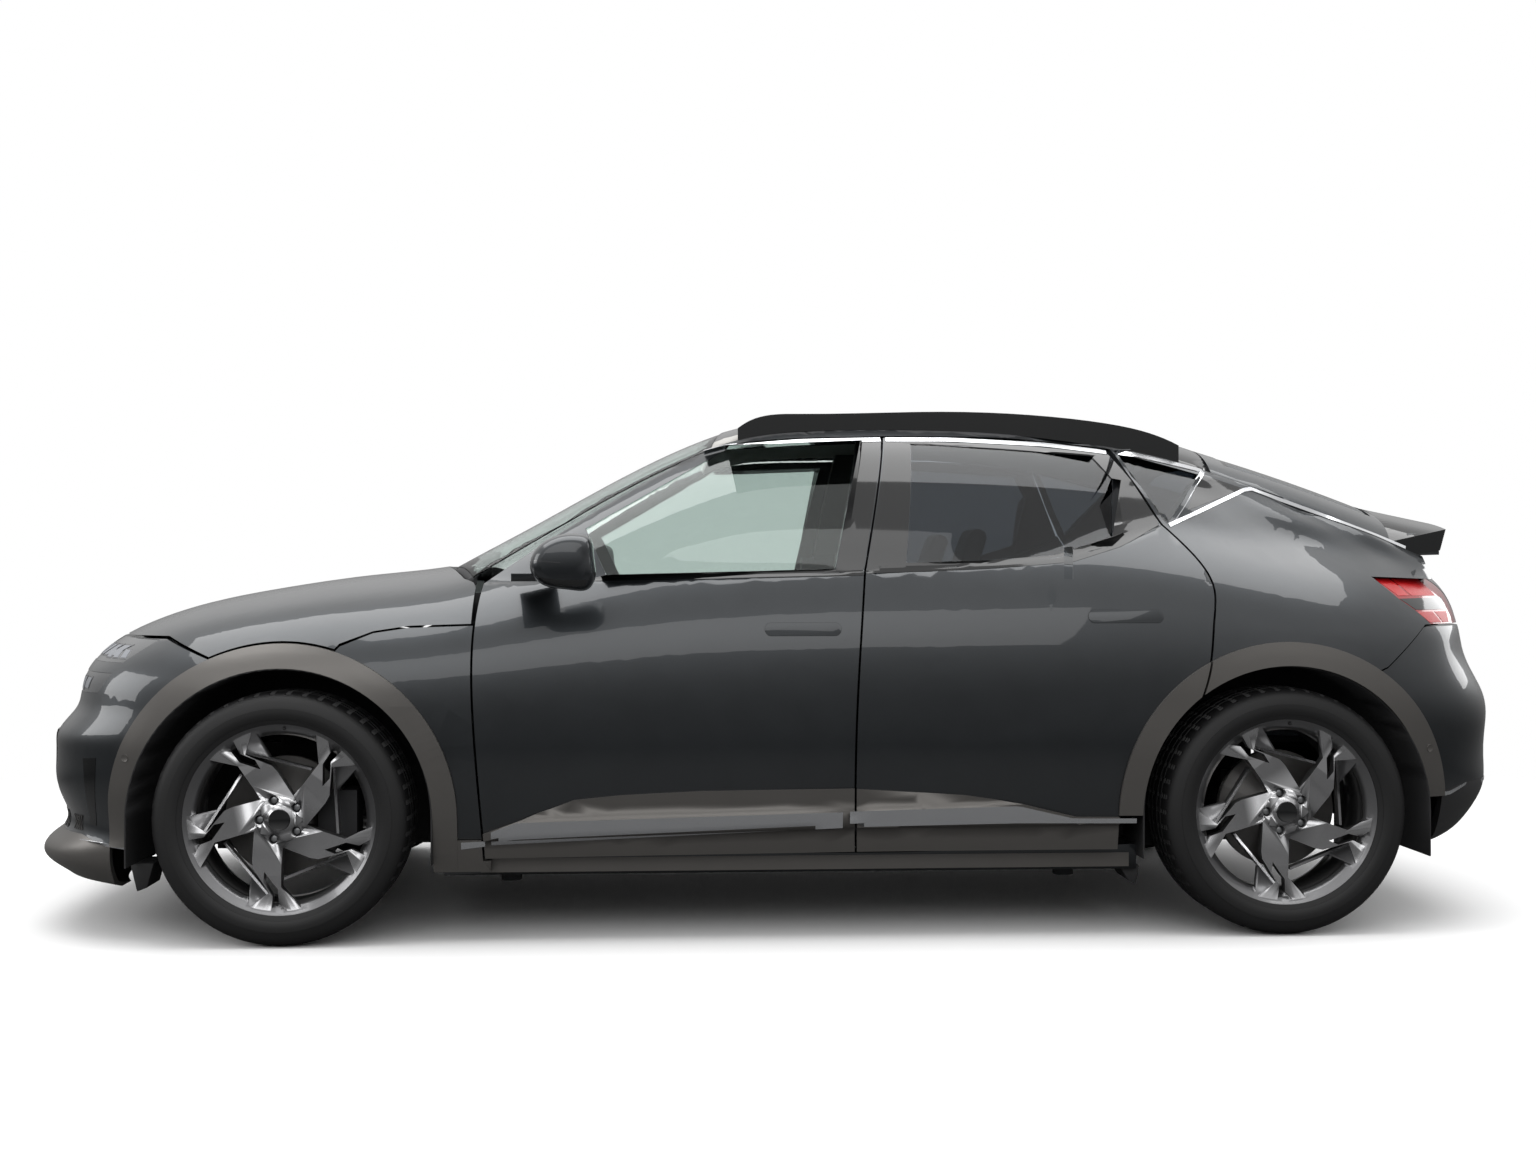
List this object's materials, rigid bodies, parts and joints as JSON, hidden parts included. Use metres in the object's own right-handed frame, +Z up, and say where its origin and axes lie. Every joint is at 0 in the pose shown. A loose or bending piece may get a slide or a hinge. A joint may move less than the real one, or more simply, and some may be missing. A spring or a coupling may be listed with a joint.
{
  "type": "electric crossover",
  "caption": "Five-door electric crossover with a coupe roofline, opening doors, hood and tailgate, steered front wheels, spinning wheels and a hollow cabin with seats.",
  "frame": {"origin": "middle of the car's outer box, on the floor under it", "axes": "+X to the car's rear, +Y to its right side, +Z up"},
  "size_m": [4.5219, 2.104, 1.5618],
  "materials": {
    "body_paint": "dark metallic grey paint",
    "satin_trim": "satin taupe moulding",
    "black_plastic": "grained black plastic",
    "gloss_black": "gloss black",
    "clear_glass": "clear tinted glass",
    "privacy_glass": "dark privacy glass",
    "lamp_lens": "lamp lens",
    "tail_lens": "red lamp lens",
    "wheel_metal": "machined and painted alloy",
    "tyre": "black tyre",
    "brake_iron": "turned iron",
    "chassis_metal": "black coated steel",
    "battery_case": "plain sheet",
    "dash_plastic": "soft grained plastic",
    "seat_cloth": "woven seat cloth"
  },
  "bodies": {
    "body": {"body_sides": "body_paint", "quarter_glass": "privacy_glass", "windshield": "clear_glass", "roof_panel": "body_paint", "front_bumper": "body_paint", "headlamps": "lamp_lens", "rear_bumper": "body_paint", "tail_lamps": "tail_lens", "front_fenders": "body_paint", "front_arch_trims": "satin_trim", "rear_arch_trims": "satin_trim", "roof_rails": "satin_trim", "floor": "chassis_metal", "battery_pack": "battery_case", "bulkhead": "chassis_metal", "front_structure": "chassis_metal", "front_subframe": "chassis_metal", "rear_subframe": "chassis_metal", "wheel_liners": "black_plastic", "front_seats": "seat_cloth", "rear_seat": "seat_cloth", "dashboard": "dash_plastic", "console": "dash_plastic", "steering_wheel": "dash_plastic", "front_lip": "satin_trim", "rear_valance": "black_plastic"},
    "hood": {"hood": "body_paint"},
    "tailgate": {"tailgate": "body_paint", "rear_glass": "privacy_glass", "spoiler": "gloss_black"},
    "front_door_left": {"front_door_left": "body_paint", "front_door_glass_left": "clear_glass", "front_door_cladding_left": "satin_trim", "mirror_left": "body_paint"},
    "rear_door_left": {"rear_door_left": "body_paint", "rear_door_glass_left": "privacy_glass", "rear_door_cladding_left": "satin_trim"},
    "knuckle_left": {"front_knuckle_left": "chassis_metal"},
    "front_wheel_left": {"front_rim_left": "wheel_metal", "front_tyre_left": "tyre", "front_brake_disc_left": "brake_iron"},
    "rear_wheel_left": {"rear_rim_left": "wheel_metal", "rear_tyre_left": "tyre", "rear_brake_disc_left": "brake_iron"},
    "front_door_right": {"front_door_right": "body_paint", "front_door_glass_right": "clear_glass", "front_door_cladding_right": "satin_trim", "mirror_right": "body_paint"},
    "rear_door_right": {"rear_door_right": "body_paint", "rear_door_glass_right": "privacy_glass", "rear_door_cladding_right": "satin_trim"},
    "knuckle_right": {"front_knuckle_right": "chassis_metal"},
    "front_wheel_right": {"front_rim_right": "wheel_metal", "front_tyre_right": "tyre", "front_brake_disc_right": "brake_iron"},
    "rear_wheel_right": {"rear_rim_right": "wheel_metal", "rear_tyre_right": "tyre", "rear_brake_disc_right": "brake_iron"}
  },
  "joints": [
    {"name": "front_door_left_hinge", "type": "hinge", "parent": "body", "child": "front_door_left", "pos_m": [-0.84, -0.913, 0.65], "axis": [0, 0, -1], "range_deg": [0, 65]},
    {"name": "rear_door_left_hinge", "type": "hinge", "parent": "body", "child": "rear_door_left", "pos_m": [0.262, -0.913, 0.65], "axis": [0, 0, -1], "range_deg": [0, 65]},
    {"name": "hood_hinge", "type": "hinge", "parent": "body", "child": "hood", "pos_m": [-0.9, 0, 1.06], "axis": [0, 1, 0], "range_deg": [0, 50]},
    {"name": "tailgate_hinge", "type": "hinge", "parent": "body", "child": "tailgate", "pos_m": [1.3495, 0, 1.478], "axis": [0, -1, 0], "range_deg": [0, 70]},
    {"name": "steering_left", "type": "hinge", "parent": "body", "child": "knuckle_left", "pos_m": [-1.4375, -0.782, 0.362], "axis": [0, 0, 1], "range_deg": [-35, 35]},
    {"name": "front_wheel_left_spin", "type": "hinge", "parent": "knuckle_left", "child": "front_wheel_left", "pos_m": [-1.4375, -0.802, 0.362], "axis": [0, 1, 0], "continuous": true},
    {"name": "rear_wheel_left_spin", "type": "hinge", "parent": "body", "child": "rear_wheel_left", "pos_m": [1.4625, -0.802, 0.362], "axis": [0, 1, 0], "continuous": true},
    {"name": "front_door_right_hinge", "type": "hinge", "parent": "body", "child": "front_door_right", "pos_m": [-0.84, 0.913, 0.65], "axis": [0, 0, 1], "range_deg": [0, 65]},
    {"name": "rear_door_right_hinge", "type": "hinge", "parent": "body", "child": "rear_door_right", "pos_m": [0.262, 0.913, 0.65], "axis": [0, 0, 1], "range_deg": [0, 65]},
    {"name": "steering_right", "type": "hinge", "parent": "body", "child": "knuckle_right", "pos_m": [-1.4375, 0.782, 0.362], "axis": [0, 0, 1], "range_deg": [-35, 35]},
    {"name": "front_wheel_right_spin", "type": "hinge", "parent": "knuckle_right", "child": "front_wheel_right", "pos_m": [-1.4375, 0.802, 0.362], "axis": [0, 1, 0], "continuous": true},
    {"name": "rear_wheel_right_spin", "type": "hinge", "parent": "body", "child": "rear_wheel_right", "pos_m": [1.4625, 0.802, 0.362], "axis": [0, 1, 0], "continuous": true}
  ],
  "couplings": [
    {"joint": "steering_right", "follows": "steering_left", "ratio": 1}
  ]
}
